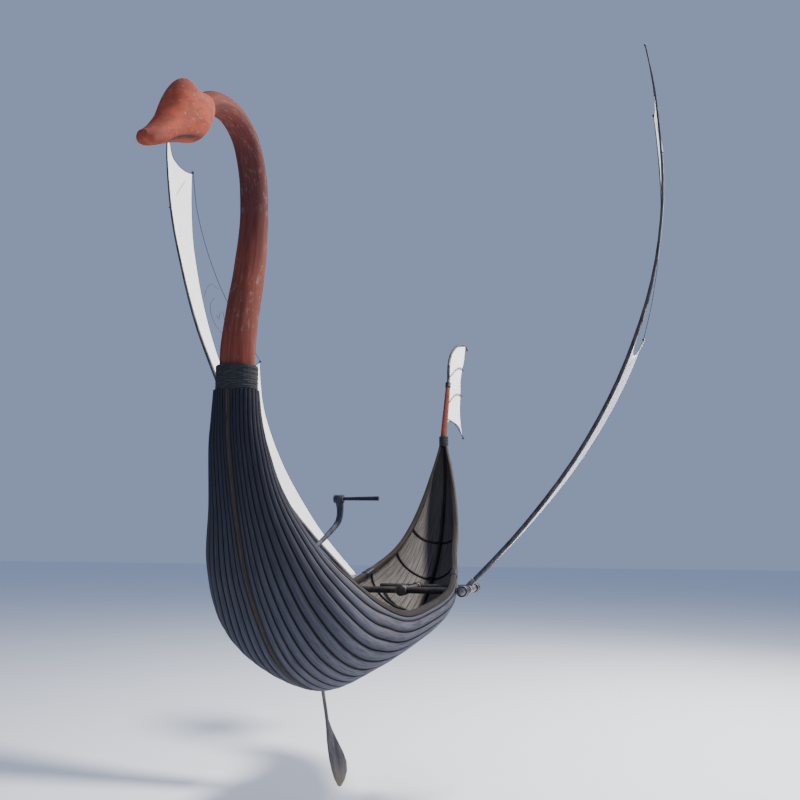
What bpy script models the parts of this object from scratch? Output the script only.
"""Open planked boat with a swan's neck and head, flapping wings, a tail fin and a steering oar.

Full size in metres. +X points forward, +Y to port and +Z up. The origin is the middle of the
forward wing beam, on the boat's centre plane.
"""
import functools
import math

import bmesh
import bpy
import numpy
from mathutils import Matrix, Vector

PART_NAME = "winged_swan_boat"

# Fits
SEAT = 0.0003
RUNNING = 0.001
TWIST_GAP = 0.0009

# Hull sections from the bow collar to the stern collar. Columns: keel x, keel z, rail x, rail z,
# greatest half breadth, the angle in degrees that a side wraps through from keel to rail, and its
# sharpness at the keel (under 1 full, over 1 fine).
HULL_SECTIONS = [
    (4.280, 1.630, 4.036, 1.630, 0.157, 144, 1.00),
    (4.262, 1.430, 4.036, 1.440, 0.178, 137, 0.88),
    (4.235, 1.220, 3.995, 1.240, 0.208, 131, 0.75),
    (4.110, 0.780, 3.863, 0.953, 0.268, 128, 0.80),
    (3.860, 0.230, 3.632, 0.658, 0.400, 130, 0.91),
    (3.330, -0.330, 3.237, 0.364, 0.522, 124, 1.10),
    (2.560, -0.645, 2.535, 0.063, 0.535, 104, 1.25),
    (1.815, -0.658, 1.854, -0.101, 0.592, 94, 1.38),
    (1.005, -0.604, 1.033, -0.075, 0.635, 93, 1.45),
    (0.200, -0.514, 0.250, 0.010, 0.627, 96, 1.44),
    (-0.620, -0.344, -0.420, 0.170, 0.525, 98, 1.35),
    (-1.360, 0.026, -1.000, 0.390, 0.386, 93, 1.23),
    (-1.790, 0.468, -1.450, 0.680, 0.305, 93, 1.10),
    (-2.020, 1.000, -1.740, 1.045, 0.220, 97, 0.96),
    (-2.100, 1.400, -1.890, 1.420, 0.143, 111, 1.00),
    (-2.070, 1.775, -1.972, 1.775, 0.056, 130, 1.00),
]
STATIONS_PER_BAY = 2
GIRTH_STEPS = 60
INNER_STEPS = 12
# Seams between the strakes, from the keel up, as shares of a side's girth: at the bow, and amidships
STRAKE_SEAMS = [
    (0.000, 0.000), (0.057, 0.080), (0.120, 0.165), (0.193, 0.250), (0.270, 0.335), (0.357, 0.425),
    (0.450, 0.520), (0.545, 0.630), (0.638, 0.735), (0.733, 0.840), (0.832, 0.950), (1.000, 1.000),
]
BOW_SEAMS_X = 3.70
MIDSHIP_SEAMS_X = 2.30
STRAKE_BULGE = 0.14
STRAKE_SHOULDER = 0.22
PLANK = 0.020
PLANK_AT_ENDS = 0.34

KEEL_HALF = 0.018
KEEL_SIDE = KEEL_HALF + SEAT
KEEL_PROUD = 0.014
KEEL_FOOT_HALF = 0.011
KEEL_SHOULDER = 0.006
KEELSON_HALF = 0.011
KEELSON_DEPTH = 0.040
KEELSON_STATIONS = (6, 27)

RAIL_HEIGHT = 0.050
RAIL_OUT = 0.014
RAIL_IN = 0.044
RAIL_CHAMFER = 0.008
RAIL_FULL_BREADTH = 0.22
RAIL_LEAST = 0.45
STRAP_BAY = 19
STRAP_SPAN = (0.50, 1.00)
STRAP_THICK = 0.004

FRAME_SECTIONS = range(5, 13)
FRAME_DEPTH = 0.016
FRAME_HALF_WIDTH = 0.009
FRAME_TOP = 0.996
FRAME_HOP = 0.002
FRAME_HAUNCH = 0.006

# Bow and stern collars: centre x, foot z, height, outer radius, number of wraps, sides round
BOW_COLLAR = (4.142, 1.630, 0.170, 0.148, 5, 32)
STERN_COLLAR = (-2.0137, 1.775, 0.130, 0.062, 4, 20)
WRAP_GROOVE = 0.002

# Neck, from the collar up and over to the head. Columns: x, z, radius
NECK = [
    (4.142, 1.630, 0.1230), (4.142, 1.850, 0.1230), (4.132, 1.960, 0.1230), (4.092, 2.150, 0.1190),
    (4.051, 2.305, 0.1180), (4.003, 2.466, 0.1150), (3.968, 2.626, 0.1130), (3.943, 2.785, 0.1070),
    (3.928, 2.945, 0.1040), (3.936, 3.097, 0.1030), (3.965, 3.260, 0.1015), (4.045, 3.428, 0.0980),
    (4.150, 3.526, 0.0930), (4.308, 3.582, 0.0880), (4.460, 3.580, 0.0840), (4.620, 3.536, 0.0800),
    (4.728, 3.472, 0.0760),
]
NECK_SIDES = 16

# Head, from the neck to the bill's tip. Columns: x, lowest z, highest z, half width
HEAD = [
    (4.730, 3.370, 3.520, 0.080), (4.760, 3.270, 3.535, 0.105), (4.840, 3.165, 3.513, 0.130),
    (4.930, 3.120, 3.506, 0.135), (5.020, 3.085, 3.515, 0.127), (5.110, 3.045, 3.415, 0.110),
    (5.200, 3.000, 3.240, 0.090), (5.300, 2.947, 3.105, 0.078), (5.390, 2.910, 3.020, 0.064),
    (5.440, 2.928, 2.985, 0.032),
]
HEAD_SIDES = 12

# Stern post and tail. Columns: x, z, radius
STERN_POST = [
    (-2.0137, 1.775, 0.042), (-2.0137, 1.915, 0.042), (-2.080, 2.090, 0.040), (-2.160, 2.290, 0.037),
    (-2.235, 2.480, 0.034), (-2.285, 2.620, 0.031),
]
TAIL_RING_RADIUS = 0.038
TAIL_RING_LENGTH = 0.070
TAIL_SPAR = [
    (-2.310, 2.690, 0.022), (-2.326, 2.738, 0.022), (-2.350, 2.940, 0.021), (-2.500, 3.130, 0.019),
    (-2.830, 3.300, 0.017), (-3.120, 3.395, 0.015), (-3.430, 3.435, 0.013), (-3.600, 3.400, 0.011),
]
TAIL_KNOB = 0.018
# Tail battens: x and z of the root, the middle and the knob
TAIL_BATTENS = {
    "tail_batten_upper": [(-2.345, 2.770), (-2.900, 3.000), (-3.240, 3.030)],
    "tail_batten_middle": [(-2.200, 2.360), (-2.735, 2.590), (-3.100, 2.620)],
    "tail_batten_lower": [(-2.120, 2.170), (-2.650, 2.150), (-3.220, 2.000)],
}
TAIL_BATTEN_RADIUS = 0.007
TAIL_SCALLOPS = [
    [(-3.360, 3.200)],
    [(-3.090, 2.820)],
    [(-3.030, 2.380), (-3.080, 2.180)],
]
TAIL_FOOT = [(-3.000, 2.120), (-2.600, 2.165)]
TAIL_FOOT_Z = 2.060
TAIL_RING_REACH = (2.55, 2.75)
TAIL_FRONT_END_X = -3.50
TAIL_KNOB_GRIP = (1.3, 0.2)

SKIN = 0.006

# Beams: x, beam radius, hub radius, hub length
BEAM_FORWARD = (0.0, 0.036, 0.060, 0.130)
BEAM_AFT = (-0.633, 0.031, 0.052, 0.110)
BEAM_SIDES = 24
HINGE_Y = 0.690
SHAFT_RADIUS = 0.033
PIN_RADIUS = 0.0225

ROOT_SLEEVE_RADIUS = 0.042
ROOT_SLEEVE = (-0.510, -0.240)
ROOT_BLOCK = (0.090, 0.056, 0.100)

# Wing spar, port side, from the root bracket to the tip. Columns: x, y, z, radius
WING_SPAR = [
    (-0.375, 0.742, 0.104, 0.026), (-0.353, 1.181, 0.548, 0.026), (-0.331, 1.562, 0.989, 0.025),
    (-0.313, 1.894, 1.427, 0.024), (-0.296, 2.169, 1.862, 0.023), (-0.274, 2.399, 2.295, 0.022),
    (-0.250, 2.586, 2.728, 0.021), (-0.191, 2.741, 3.154, 0.019), (-0.121, 2.853, 3.576, 0.017),
    (-0.023, 2.922, 3.991, 0.015), (0.116, 2.954, 4.388, 0.014), (0.269, 2.945, 4.776, 0.012),
    (0.428, 2.909, 5.269, 0.010), (0.506, 2.861, 5.575, 0.008), (0.544, 2.832, 5.728, 0.007),
]
WING_KNOB = 0.018
WING_TIP_KNOB = 0.014
# The membrane bows with the spar, and draws in this much per metre behind it
WING_TWIST = 0.028
WING_LEAD_GAP = 1.12
# Wing membrane's free edge as x and z, in runs between its cusps, from the root up
WING_ROOT_CORNER = (-0.640, 0.130)
WING_INNER_EDGE = [
    (-0.675, 0.300), (-0.745, 0.657), (-0.880, 1.030), (-1.025, 1.430), (-1.185, 1.840),
    (-1.385, 2.300), (-1.620, 2.700),
]
WING_LOWER_CUSP = (-1.820, 3.030)
WING_SCALLOP = [(-1.480, 2.830), (-1.060, 2.700), (-0.680, 2.690), (-0.530, 2.830)]
WING_OUTER_EDGE = [
    (-0.520, 3.100), (-0.490, 3.500), (-0.420, 4.000), (-0.335, 4.410), (-0.240, 4.850),
]
WING_UPPER_CUSP = (-0.170, 5.240)
WING_TIP_SCALLOP = [(0.000, 5.215), (0.180, 5.235), (0.326, 5.308)]
WING_TIP_END_Z = 5.560
# Wing battens: x, z of the root on the spar, and the knob
WING_BATTENS = [
    [(-0.262, 2.450), (-1.050, 2.660), (-1.850, 3.050)],
    [(0.230, 4.650), (0.010, 5.020), (-0.190, 5.268)],
]
WING_BATTEN_RADIUS = 0.009
STAY_MIDDLE = [(-0.380, 4.830), (-0.690, 4.380), (-1.050, 3.915), (-1.480, 3.460)]
STAY_RADIUS = 0.004

# Steering oar
OAR_FOOT = Vector((0.303, -0.770, -1.300))
OAR_TOP = Vector((0.985, -0.770, 0.330))
OAR_RADIUS = 0.019
OAR_BOSS_Z = -0.040
OAR_BOSS_RADIUS = 0.046
OAR_BOSS_LENGTH = 0.120
OAR_BRACKET_WIDTH = 0.090
OAR_BRACKET_HEIGHT = 0.034
OAR_BRACKET_REACH = 0.130
# Blade. Columns: distance below the shaft's foot, reach outboard and inboard of its line, half
# thickness
OAR_BLADE = [
    (0.000, 0.019, 0.019, 0.019), (0.086, 0.021, 0.019, 0.018), (0.196, 0.028, 0.044, 0.015),
    (0.326, 0.040, 0.086, 0.013), (0.466, 0.044, 0.134, 0.012), (0.586, 0.044, 0.160, 0.011),
    (0.706, 0.036, 0.150, 0.010), (0.826, 0.018, 0.106, 0.009), (0.911, -0.012, 0.054, 0.007),
]
OAR_BLADE_SIDES = 12
# Tiller arm, from above the oar's head up to the grip. Columns: x, y, z, radius
TILLER_ARM = [
    (1.005, -0.770, 0.378, 0.026), (0.985, -0.764, 0.430, 0.026), (0.925, -0.753, 0.452, 0.026),
    (0.840, -0.737, 0.462, 0.026), (0.690, -0.706, 0.534, 0.026), (0.570, -0.663, 0.620, 0.028),
    (0.460, -0.622, 0.709, 0.031), (0.418, -0.602, 0.770, 0.034), (0.403, -0.594, 0.835, 0.036),
    (0.400, -0.595, 0.900, 0.038), (0.400, -0.604, 0.975, 0.046), (0.400, -0.608, 1.030, 0.048),
]
TILLER_SOCKET_RADIUS = 0.045
TILLER_SOCKET_LENGTH = 0.106
TILLER_GRIP_X = 0.400
TILLER_GRIP_Z = 1.000
TILLER_GRIP_END_Y = -0.150
TILLER_GRIP_RADII = (0.018, 0.024)


def clear_scene():
    for item in list(bpy.data.objects):
        bpy.data.objects.remove(item, do_unlink=True)


def make_collection(name):
    collection = bpy.data.collections.new(name)
    bpy.context.scene.collection.children.link(collection)
    return collection


clear_scene()
PARTS = make_collection(PART_NAME)
CUTTERS = make_collection("cutters")


def make_material(name, colour, roughness, metallic=0.0):
    material = bpy.data.materials.new(name)
    material.use_nodes = True
    shader = material.node_tree.nodes["Principled BSDF"]
    shader.inputs["Base Color"].default_value = (*colour, 1.0)
    shader.inputs["Roughness"].default_value = roughness
    shader.inputs["Metallic"].default_value = metallic
    return material


WEATHERED_PLANK = make_material("weathered_plank", (0.13, 0.13, 0.16), 0.75)
KEEL_WOOD = make_material("keel_wood", (0.08, 0.06, 0.055), 0.75)
RAIL_WOOD = make_material("rail_wood", (0.09, 0.075, 0.07), 0.7)
DARK_IRON = make_material("dark_iron", (0.03, 0.03, 0.035), 0.5, 0.8)
BINDING = make_material("tarred_binding", (0.05, 0.05, 0.055), 0.85)
RED_WOOD = make_material("red_wood", (0.30, 0.07, 0.04), 0.55)
ORANGE_PAINT = make_material("worn_orange_paint", (0.50, 0.12, 0.06), 0.6)
BEAM_IRON = make_material("beam_iron", (0.06, 0.05, 0.05), 0.5, 0.6)
PALE_METAL = make_material("pale_metal", (0.35, 0.34, 0.36), 0.4, 0.8)
SPAR_WOOD = make_material("spar_wood", (0.07, 0.06, 0.06), 0.6)
MEMBRANE = make_material("white_membrane", (0.85, 0.83, 0.88), 0.6)
OAR_WOOD = make_material("oar_wood", (0.20, 0.17, 0.15), 0.7)


def add_object(name, mesh, material, collection=PARTS):
    item = bpy.data.objects.new(name, mesh)
    collection.objects.link(item)
    if material is not None:
        mesh.materials.append(material)
    return item


def finish_mesh(name, shape, material, smooth_angle=35, collection=PARTS, closed=True):
    """Turn a bmesh into a named object, faces out and shaded smooth under the given angle."""
    if closed:
        bmesh.ops.recalc_face_normals(shape, faces=shape.faces)
    mesh = bpy.data.meshes.new(name)
    shape.to_mesh(mesh)
    shape.free()
    mesh.shade_smooth()
    mesh.set_sharp_from_angle(angle=math.radians(smooth_angle))
    return add_object(name, mesh, material, collection)


def smooth_rows(rows, parts):
    """Rows of numbers read from a smooth curve through the given rows, parts to each gap."""
    ends = [[2 * a - b for a, b in zip(rows[0], rows[1])], [2 * a - b for a, b in zip(rows[-1], rows[-2])]]
    padded = [ends[0], *rows, ends[1]]
    result = []
    for index in range(len(rows) - 1):
        before, start, end, after = padded[index:index + 4]
        for part in range(parts):
            t = part / parts
            result.append(tuple(
                0.5 * (2 * b + (c - a) * t + (2 * a - 5 * b + 4 * c - d) * t ** 2
                       + (3 * b - a - 3 * c + d) * t ** 3)
                for a, b, c, d in zip(before, start, end, after)))
    result.append(tuple(rows[-1]))
    return result


def loft(name, loops, material, smooth_angle=35, collection=PARTS):
    """A closed solid through rings of equally many points, each patch split on its short diagonal."""
    shape = bmesh.new()
    rings = [[shape.verts.new(point) for point in loop] for loop in loops]
    for ring, following in zip(rings, rings[1:]):
        for index in range(len(ring)):
            ahead = (index + 1) % len(ring)
            a, b, c, d = ring[index], ring[ahead], following[ahead], following[index]
            if (a.co - c.co).length < (b.co - d.co).length:
                triangles = ((a, b, c), (a, c, d))
            else:
                triangles = ((a, b, d), (b, c, d))
            for triangle in triangles:
                shape.faces.new(triangle)
    caps = [shape.faces.new(rings[0][::-1]), shape.faces.new(rings[-1])]
    shape.normal_update()
    bmesh.ops.triangulate(shape, faces=caps)
    return finish_mesh(name, shape, material, smooth_angle, collection)


def solid_from_curve(name, points, radii, material, sides, collection=PARTS):
    """A round rod along a curve object with filled caps, made a mesh."""
    curve = bpy.data.curves.new(name, "CURVE")
    curve.dimensions = "3D"
    curve.bevel_depth = 1.0
    curve.bevel_resolution = sides // 2 - 2
    curve.use_fill_caps = True
    spline = curve.splines.new("POLY")
    spline.points.add(len(points) - 1)
    for point, place, radius in zip(spline.points, points, radii):
        point.co = (*place, 1.0)
        point.radius = radius
    holder = bpy.data.objects.new(name, curve)
    collection.objects.link(holder)
    bpy.context.view_layer.update()
    mesh = bpy.data.meshes.new_from_object(holder.evaluated_get(bpy.context.evaluated_depsgraph_get()))
    bpy.data.objects.remove(holder)
    shape = bmesh.new()
    shape.from_mesh(mesh)
    bmesh.ops.remove_doubles(shape, verts=shape.verts, dist=0.00002)
    bpy.data.meshes.remove(mesh)
    return finish_mesh(name, shape, material, 50, collection)


def cylinder(name, start, end, radius, material, sides=24, end_radius=None, collection=PARTS):
    axis = Vector(end) - Vector(start)
    turn = Vector((0, 0, 1)).rotation_difference(axis.normalized()).to_matrix().to_4x4()
    place = Matrix.Translation((Vector(start) + Vector(end)) / 2) @ turn
    shape = bmesh.new()
    bmesh.ops.create_cone(shape, cap_ends=True, segments=sides, radius1=radius,
                          radius2=radius if end_radius is None else end_radius,
                          depth=axis.length, matrix=place)
    return finish_mesh(name, shape, material, 35, collection)


def box(name, sizes, place, material, collection=PARTS):
    shape = bmesh.new()
    bmesh.ops.create_cube(shape, size=1.0, matrix=place @ Matrix.Diagonal((*sizes, 1.0)))
    return finish_mesh(name, shape, material, 35, collection)


def ball(name, centre, radius, material, collection=PARTS):
    shape = bmesh.new()
    bmesh.ops.create_uvsphere(shape, u_segments=10, v_segments=6, radius=radius,
                              matrix=Matrix.Translation(centre))
    return finish_mesh(name, shape, material, 60, collection)


def turned(name, profile, centre, material, steps):
    """A closed profile of radius and height turned round an upright axis."""
    mesh = bpy.data.meshes.new(name)
    count = len(profile)
    edges = [(index, (index + 1) % count) for index in range(count)]
    mesh.from_pydata([(radius, 0.0, height) for radius, height in profile], edges, [])
    item = add_object(name, mesh, material)
    item.location = centre
    screw = item.modifiers.new("turn", "SCREW")
    screw.steps = screw.render_steps = steps
    screw.use_merge_vertices = True
    screw.merge_threshold = 0.00001
    screw.use_normal_calculate = True
    return item


def combine(item, other, operation):
    """Apply a Boolean of one mesh object with another, which is then removed."""
    modifier = item.modifiers.new(operation.lower(), "BOOLEAN")
    modifier.operation = operation
    modifier.solver = "EXACT"
    modifier.object = other
    bpy.context.view_layer.update()
    mesh = bpy.data.meshes.new_from_object(item.evaluated_get(bpy.context.evaluated_depsgraph_get()))
    item.modifiers.clear()
    old = item.data
    item.data = mesh
    bpy.data.meshes.remove(old)
    bpy.data.objects.remove(other)
    return item


def cut_with(item, cutter):
    """Leave a live cut of a cutter object on an item."""
    cutter.display_type = "WIRE"
    cutter.hide_render = True
    modifier = item.modifiers.new("cut_" + cutter.name, "BOOLEAN")
    modifier.operation = "DIFFERENCE"
    modifier.solver = "EXACT"
    modifier.object = cutter


def mirror_loops(loops):
    return [[Vector((x, -y, z)) for x, y, z in loop] for loop in loops]


# The hull is worked out in its sections: along runs from the keel to the rail, across to port.
STATIONS = smooth_rows(HULL_SECTIONS, STATIONS_PER_BAY)


def to_world(row, along, across):
    keel_x, keel_z, rail_x, rail_z = row[:4]
    up = Vector((rail_x - keel_x, 0.0, rail_z - keel_z)).normalized()
    return Vector((keel_x, 0.0, keel_z)) + up * along + Vector((0.0, across, 0.0))


def section_point(row, turn):
    """A side's smooth section at one angle of its wrap, as distances along and across."""
    keel_x, keel_z, rail_x, rail_z, half, wrap, sharpness = row
    height = math.hypot(rail_x - keel_x, rail_z - keel_z) / (1.0 - math.cos(math.radians(wrap)))
    return Vector((height * (1.0 - math.cos(turn)),
                   KEEL_SIDE + (half - KEEL_SIDE) * math.sin(turn) ** sharpness))


@functools.lru_cache(maxsize=None)
def section_girth(row):
    """Angles through a side's wrap, and the girth from the keel to each."""
    turns = [math.radians(row[5]) * step / GIRTH_STEPS for step in range(GIRTH_STEPS + 1)]
    places = [section_point(row, turn) for turn in turns]
    girths = [0.0]
    for place, following in zip(places, places[1:]):
        girths.append(girths[-1] + (following - place).length)
    return turns, girths


def side_curve(row, share):
    """Place, direction and outward normal of a side's section, at a share of its girth from the keel."""
    turns, girths = section_girth(row)
    turn = float(numpy.interp(share * girths[-1], girths, turns))
    place = section_point(row, turn)
    step = turns[1] / 2
    direction = (section_point(row, turn + step) - section_point(row, max(0.0, turn - step))).normalized()
    return place, direction, Vector((-direction.y, direction.x))


def side_point(row, share, depth=0.0):
    place, _, normal = side_curve(row, share)
    return to_world(row, *(place - normal * depth))


def plank_thickness(row):
    return min(PLANK, PLANK_AT_ENDS * (row[4] - KEEL_SIDE))


def strake_seams(row):
    aft = min(1.0, max(0.0, (BOW_SEAMS_X - row[0]) / (BOW_SEAMS_X - MIDSHIP_SEAMS_X)))
    return [bow + aft * (midship - bow) for bow, midship in STRAKE_SEAMS]


def plank_loop(row):
    """Round strakes outside from keel to rail, then the smooth inner face back to the keel."""
    seams = strake_seams(row)
    widest = 1 / (len(seams) - 1)
    girth = section_girth(row)[1][-1]
    outer = []
    for seam, ahead in zip(seams, seams[1:]):
        width = ahead - seam
        bulge = STRAKE_BULGE * girth * min(width, widest)
        outer.append(side_point(row, seam))
        outer.append(side_point(row, seam + width * STRAKE_SHOULDER, -bulge))
        outer.append(side_point(row, ahead - width * STRAKE_SHOULDER, -bulge))
    outer.append(side_point(row, 1.0))
    inner = [side_point(row, step / INNER_STEPS, plank_thickness(row)) for step in range(INNER_STEPS, 0, -1)]
    return outer + inner + [to_world(row, plank_thickness(row), KEEL_SIDE)]


def keel_loop(row):
    corners = [(-KEEL_PROUD, KEEL_FOOT_HALF), (-KEEL_SHOULDER, KEEL_HALF),
               (plank_thickness(row), KEEL_HALF)]
    corners += [(along, -across) for along, across in reversed(corners)]
    return [to_world(row, along, across) for along, across in corners]


def keelson_loop(row):
    foot = plank_thickness(row) + SEAT
    top = foot + KEELSON_DEPTH
    corners = [(foot, KEELSON_HALF), (top, KEELSON_HALF), (top, -KEELSON_HALF), (foot, -KEELSON_HALF)]
    return [to_world(row, along, across) for along, across in corners]


def rail_size(row):
    return max(RAIL_LEAST, min(1.0, row[4] / RAIL_FULL_BREADTH))


def rail_outline(row, grow, open_foot=False):
    """Corners of the rail's section, as distances beyond the planking's edge and outwards."""
    size = rail_size(row)
    foot = TWIST_GAP if open_foot else TWIST_GAP - grow
    top = TWIST_GAP + RAIL_HEIGHT * size + grow
    out = RAIL_OUT * size + grow
    inside = -RAIL_IN * size - grow
    cut = RAIL_CHAMFER * size
    return [(foot, out), (top - cut, out), (top, out - cut), (top, inside + cut), (top - cut, inside),
            (foot, inside)]


def on_rail(row, corners):
    place, direction, normal = side_curve(row, 1.0)
    return [to_world(row, *(place + direction * beyond + normal * out)) for beyond, out in corners]


def rail_loop(row, grow=0.0):
    corners = rail_outline(row, grow)
    foot = corners[0][0]
    return on_rail(row, [*corners, (foot, -plank_thickness(row)), (foot, 0.0)])


def strap_loop(row):
    outer = rail_outline(row, TWIST_GAP + STRAP_THICK, open_foot=True)
    inner = rail_outline(row, TWIST_GAP, open_foot=True)
    return on_rail(row, outer + inner[::-1])


def between(loop, following, share):
    return [point.lerp(other, share) for point, other in zip(loop, following)]


def frame_loop(row):
    """A bent frame's section outline: its back along the planks and over the keelson, then its face."""
    foot = plank_thickness(row) + TWIST_GAP
    shares = [FRAME_TOP] + [step / INNER_STEPS for step in range(INNER_STEPS - 1, 0, -1)]
    hop_across = KEELSON_HALF + FRAME_HOP
    hop_along = foot + KEELSON_DEPTH + FRAME_HOP
    back = [side_point(row, share, foot) for share in shares]
    back += [to_world(row, foot + FRAME_HOP, hop_across), to_world(row, hop_along, hop_across)]
    face = [side_point(row, share, foot + FRAME_DEPTH) for share in shares[:-1]]
    face.append(side_point(row, shares[-1], foot + FRAME_DEPTH + FRAME_HAUNCH))
    face.append(to_world(row, hop_along + FRAME_DEPTH, hop_across))
    back += [Vector((x, -y, z)) for x, y, z in reversed(back)]
    face += [Vector((x, -y, z)) for x, y, z in reversed(face)]
    return back + face[::-1]


def build_planking():
    loops = [plank_loop(row) for row in STATIONS]
    port = loft("planks_port", loops, WEATHERED_PLANK, 25)
    starboard = loft("planks_starboard", mirror_loops(loops), WEATHERED_PLANK, 25)
    for label, (x, radius, _, _) in (("forward", BEAM_FORWARD), ("aft", BEAM_AFT)):
        cutter = cylinder(label + "_beam_hole", (x, -1.0, 0.0), (x, 1.0, 0.0), radius + RUNNING, None,
                          BEAM_SIDES, collection=CUTTERS)
        cut_with(port, cutter)
        cut_with(starboard, cutter)


def build_keel():
    loft("keel_band", [keel_loop(row) for row in STATIONS], KEEL_WOOD)
    first, last = KEELSON_STATIONS
    loft("keelson", [keelson_loop(row) for row in STATIONS[first:last]], KEEL_WOOD)


def build_rails():
    loops = [rail_loop(row) for row in STATIONS]
    loft("gunwale_port", loops, RAIL_WOOD)
    loft("gunwale_starboard", mirror_loops(loops), RAIL_WOOD)
    ends = [strap_loop(STATIONS[STRAP_BAY]), strap_loop(STATIONS[STRAP_BAY + 1])]
    straps = [between(*ends, share) for share in STRAP_SPAN]
    loft("rail_strap_port", straps, DARK_IRON)
    loft("rail_strap_starboard", mirror_loops(straps), DARK_IRON)


def build_frames():
    for number, section in enumerate(FRAME_SECTIONS, start=1):
        index = section * STATIONS_PER_BAY
        here = STATIONS[index]
        loops = [between(frame_loop(here), frame_loop(beside),
                         FRAME_HALF_WIDTH / math.dist(here[:2], beside[:2]))
                 for beside in (STATIONS[index - 1], STATIONS[index + 1])]
        loft(f"frame_{number}", loops, KEEL_WOOD)


def collar_profile(inner, outer, height, wraps):
    """A ring's section whose outer face is bound round with wraps."""
    step = height / wraps
    profile = [(outer - WRAP_GROOVE, height)]
    for wrap in range(wraps, 0, -1):
        top = wrap * step
        profile += [(outer, top - 0.25 * step), (outer, top - 0.75 * step),
                    (outer - WRAP_GROOVE, top - step)]
    return profile + [(inner, 0.0), (inner, height)]


def build_collars():
    for name, sizes, core in (("bow_collar", BOW_COLLAR, NECK[0][2]),
                              ("stern_collar", STERN_COLLAR, STERN_POST[0][2])):
        x, foot, height, outer, wraps, sides = sizes
        turned(name, collar_profile(core + RUNNING, outer, height, wraps),
               (x, 0.0, foot + SEAT), BINDING, sides)


def flat_path(rows, parts):
    """Centre-plane points and radii from rows of x, z and radius: straight to the second row, then smooth."""
    smooth = [rows[0], *smooth_rows(rows[1:], parts)]
    return [Vector((x, 0.0, z)) for x, z, _ in smooth], [radius for _, _, radius in smooth]


def build_neck_and_head():
    points, radii = flat_path(NECK, 1)
    points[0].z += SEAT
    solid_from_curve("neck", points, radii, RED_WOOD, NECK_SIDES)
    loops = []
    for x, low, high, half in HEAD:
        loop = []
        for side in range(HEAD_SIDES):
            turn = 2 * math.pi * side / HEAD_SIDES
            loop.append(Vector((x, half * math.sin(turn),
                                (low + high) / 2 + (high - low) / 2 * math.cos(turn))))
        loops.append(loop)
    head = loft("head", loops, ORANGE_PAINT, 60)
    smooth = head.modifiers.new("round", "SUBSURF")
    smooth.levels = smooth.render_levels = 1
    reach = points[-1] + (points[-1] - points[-2]).normalized() * SEAT
    cutter = solid_from_curve("neck_socket", [*points[:-1], reach],
                              [radius + 2 * SEAT for radius in radii], None, NECK_SIDES, CUTTERS)
    cut_with(head, cutter)


def offset_edge(points, radii, clearance):
    """Centre-plane points set off from a path to its aft and lower side."""
    result = []
    for index, (point, radius) in enumerate(zip(points, radii)):
        ahead = points[min(index + 1, len(points) - 1)] - points[max(index - 1, 0)]
        normal = Vector((-ahead.z, 0.0, ahead.x)).normalized()
        result.append(point + normal * (radius + clearance))
    return result


def flat_skin(name, outline, levels, place, material):
    """A thin sheet: an outline in x and z, split along levels of z, then bent to its place."""
    shape = bmesh.new()
    shape.faces.new([shape.verts.new((x, 0.0, z)) for x, z in outline])
    for level in levels:
        bmesh.ops.bisect_plane(shape, geom=[*shape.verts, *shape.edges, *shape.faces],
                               plane_co=(0.0, 0.0, level), plane_no=(0.0, 0.0, 1.0))
    shape.normal_update()
    bmesh.ops.triangulate(shape, faces=shape.faces)
    for vert in shape.verts:
        vert.co = place(vert.co)
    item = finish_mesh(name, shape, material, 60, closed=False)
    wall = item.modifiers.new("thickness", "SOLIDIFY")
    wall.thickness = SKIN
    wall.offset = 0.0
    return item


def edge_run(start, middle, end, parts=2):
    """A free edge's smooth run through its middle points, without its last point."""
    return [(x, z) for x, z in smooth_rows([start, *middle, end], parts)][:-1]


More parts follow.
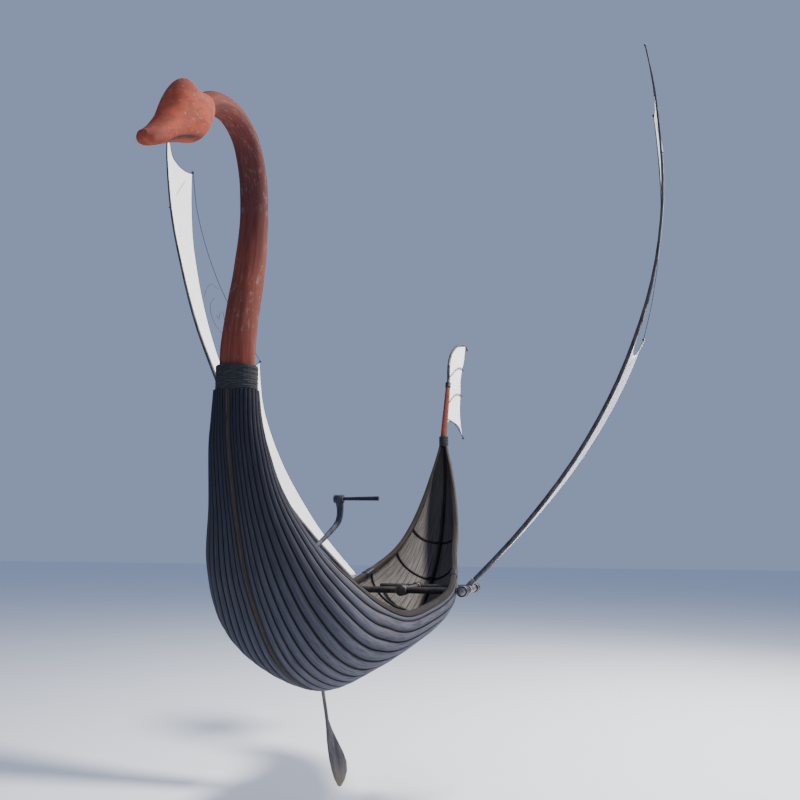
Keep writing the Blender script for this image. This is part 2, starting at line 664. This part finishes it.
def build_tail():
    post_points, post_radii = flat_path(STERN_POST, 2)
    post_points[0].z += SEAT
    solid_from_curve("stern_post", post_points, post_radii, RED_WOOD, 12)
    direction = (post_points[-1] - post_points[-2]).normalized()
    ring_start = post_points[-1] + direction * SEAT
    ring_end = ring_start + direction * TAIL_RING_LENGTH
    cylinder("tail_ring", ring_start, ring_end, TAIL_RING_RADIUS, DARK_IRON)
    spar_points, spar_radii = flat_path(TAIL_SPAR, 2)
    spar_points[:2] = [ring_end + direction * SEAT, ring_end + direction * TAIL_RING_LENGTH]
    spar = solid_from_curve("tail_spar", spar_points, spar_radii, SPAR_WOOD, 10)
    combine(spar, ball("tip", spar_points[-1], TAIL_KNOB, SPAR_WOOD), "UNION")

    batten_y = SKIN / 2 + TAIL_BATTEN_RADIUS + SEAT
    for name, rows in TAIL_BATTENS.items():
        route = [Vector((x, batten_y, z)) for x, z in smooth_rows(rows, 3)]
        batten = solid_from_curve(name, route, [TAIL_BATTEN_RADIUS] * len(route), SPAR_WOOD, 8)
        knob = ball("knob", (rows[-1][0], batten_y / 2, rows[-1][1]), TAIL_KNOB, SPAR_WOOD)
        combine(batten, knob, "UNION")
        near = solid_from_curve("near", post_points, [radius + SEAT for radius in post_radii], None, 12)
        combine(batten, near, "DIFFERENCE")
        near = solid_from_curve("near", spar_points, [radius + SEAT for radius in spar_radii], None, 10)
        combine(batten, near, "DIFFERENCE")

    lead = [point for point in post_points[2:] if point.z > TAIL_FOOT_Z] + spar_points
    lead_radii = [radius for point, radius in zip(post_points[2:], post_radii[2:])
                  if point.z > TAIL_FOOT_Z] + spar_radii
    ring_low, ring_high = TAIL_RING_REACH
    lead_radii = [max(radius, TAIL_RING_RADIUS) if ring_low < point.z < ring_high else radius
                  for point, radius in zip(lead, lead_radii)]
    edge = offset_edge(lead, lead_radii, RUNNING)
    front = [(point.x, point.z) for point in edge if point.x > TAIL_FRONT_END_X]
    cusps = [front[-1]]
    for rows in TAIL_BATTENS.values():
        x, z = rows[-1]
        cusps.append((x + TAIL_KNOB_GRIP[0] * TAIL_KNOB, z + TAIL_KNOB_GRIP[1] * TAIL_KNOB))
    outline = front[:-1]
    for start, middle, end in zip(cusps, TAIL_SCALLOPS, cusps[1:]):
        outline += edge_run(start, middle, end)
    outline += edge_run(cusps[-1], TAIL_FOOT, front[0])
    flat_skin("tail_skin", outline, [], lambda point: point, MEMBRANE)


def build_beams():
    for name, (x, radius, hub_radius, hub_length) in (("beam_forward", BEAM_FORWARD),
                                                      ("beam_aft", BEAM_AFT)):
        beam = cylinder(name, (x, -HINGE_Y, 0.0), (x, HINGE_Y, 0.0), radius, BEAM_IRON, BEAM_SIDES)
        for y in (-HINGE_Y, 0.0, HINGE_Y):
            hub = cylinder("hub", (x - hub_length / 2, y, 0.0), (x + hub_length / 2, y, 0.0),
                           hub_radius, BEAM_IRON, BEAM_SIDES)
            combine(beam, hub, "UNION")
    start = BEAM_FORWARD[0] - BEAM_FORWARD[3] / 2 - SEAT
    end = BEAM_AFT[0] + BEAM_AFT[3] / 2 + SEAT
    cylinder("centre_shaft", (start, 0.0, 0.0), (end, 0.0, 0.0), SHAFT_RADIUS, BEAM_IRON)
    for name, side in (("port", 1), ("starboard", -1)):
        cylinder("wing_pin_" + name, (start, side * HINGE_Y, 0.0), (end, side * HINGE_Y, 0.0),
                 PIN_RADIUS, PALE_METAL)


def on_wing(profile, x, z, side, outward=0.0):
    """A point of the wing's curved surface at x and z, moved outward along its normal."""
    for (x0, y0, z0, _), (x1, y1, z1, _) in zip(profile, profile[1:]):
        if z <= z1:
            break
    share = (z - z0) / (z1 - z0)
    behind = x - x0 - share * (x1 - x0)
    normal = Vector((0.0, z1 - z0, y0 - y1)).normalized()
    place = Vector((x, y0 + share * (y1 - y0) + WING_TWIST * behind, z)) + normal * outward
    return Vector((place.x, side * place.y, place.z))


def wing_lead_x(profile, z):
    """The front edge of the membrane, just behind the spar."""
    for (x0, _, z0, r0), (x1, _, z1, r1) in zip(profile, profile[1:]):
        if z <= z1:
            break
    share = (z - z0) / (z1 - z0)
    return x0 + share * (x1 - x0) - WING_LEAD_GAP * (r0 + share * (r1 - r0)) - SEAT


def build_wing(label, side):
    profile = smooth_rows(WING_SPAR, 2)
    levels = [z for _, _, z, _ in profile]
    points = [Vector((x, side * y, z)) for x, y, z, _ in profile]
    spar = solid_from_curve("wing_spar_" + label, points, [row[3] for row in profile], SPAR_WOOD, 10)
    combine(spar, ball("tip", points[-1], WING_TIP_KNOB, SPAR_WOOD), "UNION")
    knobs = []
    for rows in WING_BATTENS:
        outward = SKIN / 2 + WING_BATTEN_RADIUS + SEAT
        route = [on_wing(profile, x, z, side, outward) for x, z in smooth_rows(rows, 5)]
        batten = solid_from_curve("batten", route, [WING_BATTEN_RADIUS] * len(route), SPAR_WOOD, 8)
        knob_place = on_wing(profile, *rows[-1], side)
        knobs.append(knob_place)
        combine(batten, ball("knob", knob_place, WING_KNOB, SPAR_WOOD), "UNION")
        combine(spar, batten, "UNION")

    root_z = WING_ROOT_CORNER[1]
    front = [(wing_lead_x(profile, root_z), root_z)]
    front += [(wing_lead_x(profile, z), z) for z in levels if root_z < z < WING_TIP_END_Z]
    tip = (wing_lead_x(profile, WING_TIP_END_Z), WING_TIP_END_Z)
    back = edge_run(tip, WING_TIP_SCALLOP[::-1], WING_UPPER_CUSP)
    back += edge_run(WING_UPPER_CUSP, WING_OUTER_EDGE[::-1], WING_SCALLOP[-1])
    back += edge_run(WING_SCALLOP[-1], WING_SCALLOP[-2::-1], WING_LOWER_CUSP)
    back += edge_run(WING_LOWER_CUSP, WING_INNER_EDGE[::-1], WING_ROOT_CORNER)
    outline = [*front, *back, WING_ROOT_CORNER]
    flat_skin("wing_skin_" + label, outline, levels,
              lambda point: on_wing(profile, point.x, point.z, side), MEMBRANE)

    lower, upper = knobs
    route = [lower, *(on_wing(profile, x, z, side) for x, z in STAY_MIDDLE[::-1]), upper]
    route = [Vector(row) for row in smooth_rows([tuple(point) for point in route], 4)]
    stay = solid_from_curve("wing_stay_" + label, route, [STAY_RADIUS] * len(route), DARK_IRON, 8)
    for knob in knobs:
        combine(stay, ball("end", knob, WING_KNOB + SEAT, None), "DIFFERENCE")

    x0, x1 = ROOT_SLEEVE
    root = cylinder("wing_root_" + label, (x0, side * HINGE_Y, 0.0), (x1, side * HINGE_Y, 0.0),
                    ROOT_SLEEVE_RADIUS, PALE_METAL, 32)
    lean = Vector(points[1] - points[0]).normalized()
    turn = Vector((0, 0, 1)).rotation_difference(lean).to_matrix().to_4x4()
    middle = points[0] - lean * (SEAT + ROOT_BLOCK[2] / 2)
    combine(root, box("block", ROOT_BLOCK, Matrix.Translation(middle) @ turn, PALE_METAL), "UNION")
    hole = cylinder("hole", (x0 - 0.1, side * HINGE_Y, 0.0), (x1 + 0.1, side * HINGE_Y, 0.0),
                    PIN_RADIUS + RUNNING, None, 32)
    combine(root, hole, "DIFFERENCE")


def build_oar():
    line = (OAR_TOP - OAR_FOOT).normalized()
    cylinder("oar_shaft", OAR_FOOT, OAR_TOP, OAR_RADIUS, OAR_WOOD, 20)
    across = Vector((0.0, 1.0, 0.0))
    thick = line.cross(across).normalized()
    loops = []
    for below, outboard, inboard, half_thick in OAR_BLADE:
        middle = OAR_FOOT - line * (below + SEAT) + across * (inboard - outboard) / 2
        reach = (inboard + outboard) / 2
        turns = [2 * math.pi * side / OAR_BLADE_SIDES for side in range(OAR_BLADE_SIDES)]
        loops.append([middle + across * reach * math.cos(turn) + thick * half_thick * math.sin(turn)
                      for turn in turns])
    loft("oar_blade", loops, OAR_WOOD, 60)

    rise = (OAR_BOSS_Z - OAR_FOOT.z) / line.z
    boss_middle = OAR_FOOT + line * rise
    boss = cylinder("oar_bracket", boss_middle - line * OAR_BOSS_LENGTH / 2,
                    boss_middle + line * OAR_BOSS_LENGTH / 2, OAR_BOSS_RADIUS, DARK_IRON)
    arm_middle = Vector((boss_middle.x, OAR_TOP.y + OAR_BRACKET_REACH / 2, OAR_BOSS_Z))
    arm = box("arm", (OAR_BRACKET_WIDTH, OAR_BRACKET_REACH, OAR_BRACKET_HEIGHT),
              Matrix.Translation(arm_middle), DARK_IRON)
    combine(boss, arm, "UNION")
    hole = cylinder("hole", OAR_FOOT, OAR_TOP, OAR_RADIUS + RUNNING, None, 20)
    combine(boss, hole, "DIFFERENCE")
    near = loft("near", mirror_loops([rail_loop(row, TWIST_GAP) for row in STATIONS]), None)
    combine(boss, near, "DIFFERENCE")

    rows = smooth_rows(TILLER_ARM, 2)
    points = [OAR_TOP + line * SEAT] + [Vector(row[:3]) for row in rows]
    radii = [row[3] for row in [rows[0], *rows]]
    arm = solid_from_curve("tiller_arm", points, radii, OAR_WOOD, 14)
    socket = Vector((TILLER_GRIP_X, TILLER_ARM[-1][1], TILLER_GRIP_Z))
    half = Vector((0.0, TILLER_SOCKET_LENGTH / 2, 0.0))
    combine(arm, cylinder("socket", socket - half, socket + half, TILLER_SOCKET_RADIUS, OAR_WOOD),
            "UNION")
    start = socket + half + Vector((0.0, SEAT, 0.0))
    cylinder("tiller_grip", start, (TILLER_GRIP_X, TILLER_GRIP_END_Y, TILLER_GRIP_Z),
             TILLER_GRIP_RADII[0], DARK_IRON, 20, TILLER_GRIP_RADII[1])


def put_origins(names, pivot):
    """Move the objects' origins to a joint's axis."""
    for name in names:
        item = PARTS.objects[name]
        item.data.transform(Matrix.Translation(-pivot))
        item.location = pivot


build_planking()
build_keel()
build_rails()
build_frames()
build_collars()
build_neck_and_head()
build_tail()
build_beams()
for wing, direction in (("port", 1), ("starboard", -1)):
    build_wing(wing, direction)
    put_origins([piece + wing for piece in ("wing_root_", "wing_spar_", "wing_skin_", "wing_stay_")],
                Vector((0.0, direction * HINGE_Y, 0.0)))
build_oar()
put_origins(["oar_shaft", "oar_blade", "tiller_arm", "tiller_grip"], OAR_TOP)
